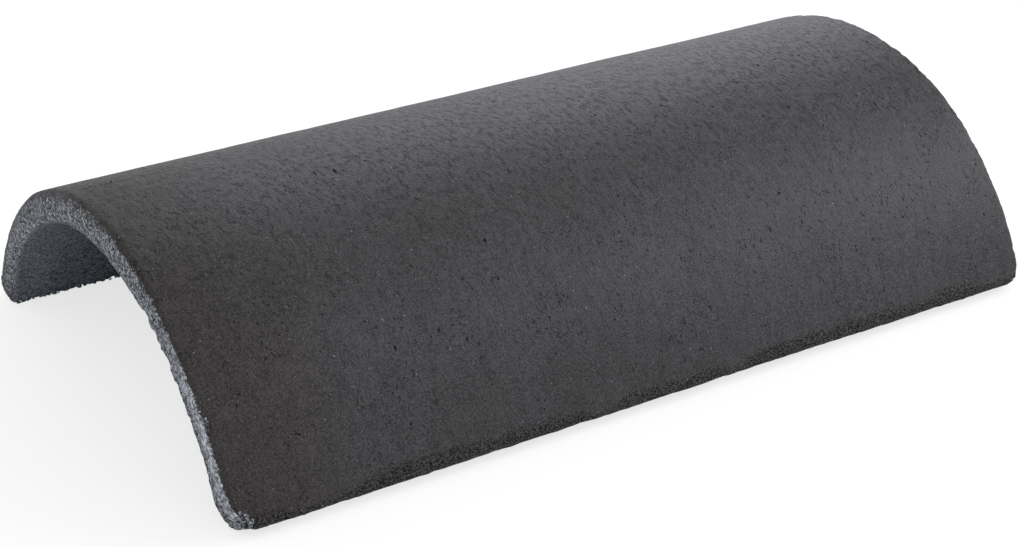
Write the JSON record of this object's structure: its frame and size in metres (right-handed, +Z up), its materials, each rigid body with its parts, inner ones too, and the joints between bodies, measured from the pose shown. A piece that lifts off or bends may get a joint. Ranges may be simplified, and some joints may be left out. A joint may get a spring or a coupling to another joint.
{
  "type": "half round ridge tile",
  "caption": "Half round ridge tile: an arch of moulded concrete with a dark coating, laid along a roof's ridge to cover the joint between its slopes.",
  "frame": {"origin": "midway along the tile and midway between its feet, on the level that the feet stand on", "axes": "+X along the tile from one end face to the other, +Y across it, +Z up through its crown"},
  "size_m": [0.45, 0.2726, 0.1008],
  "materials": {
    "concrete": "dark satin coating"
  },
  "bodies": {
    "root": {"ridge_tile": "concrete"}
  },
  "joints": []
}
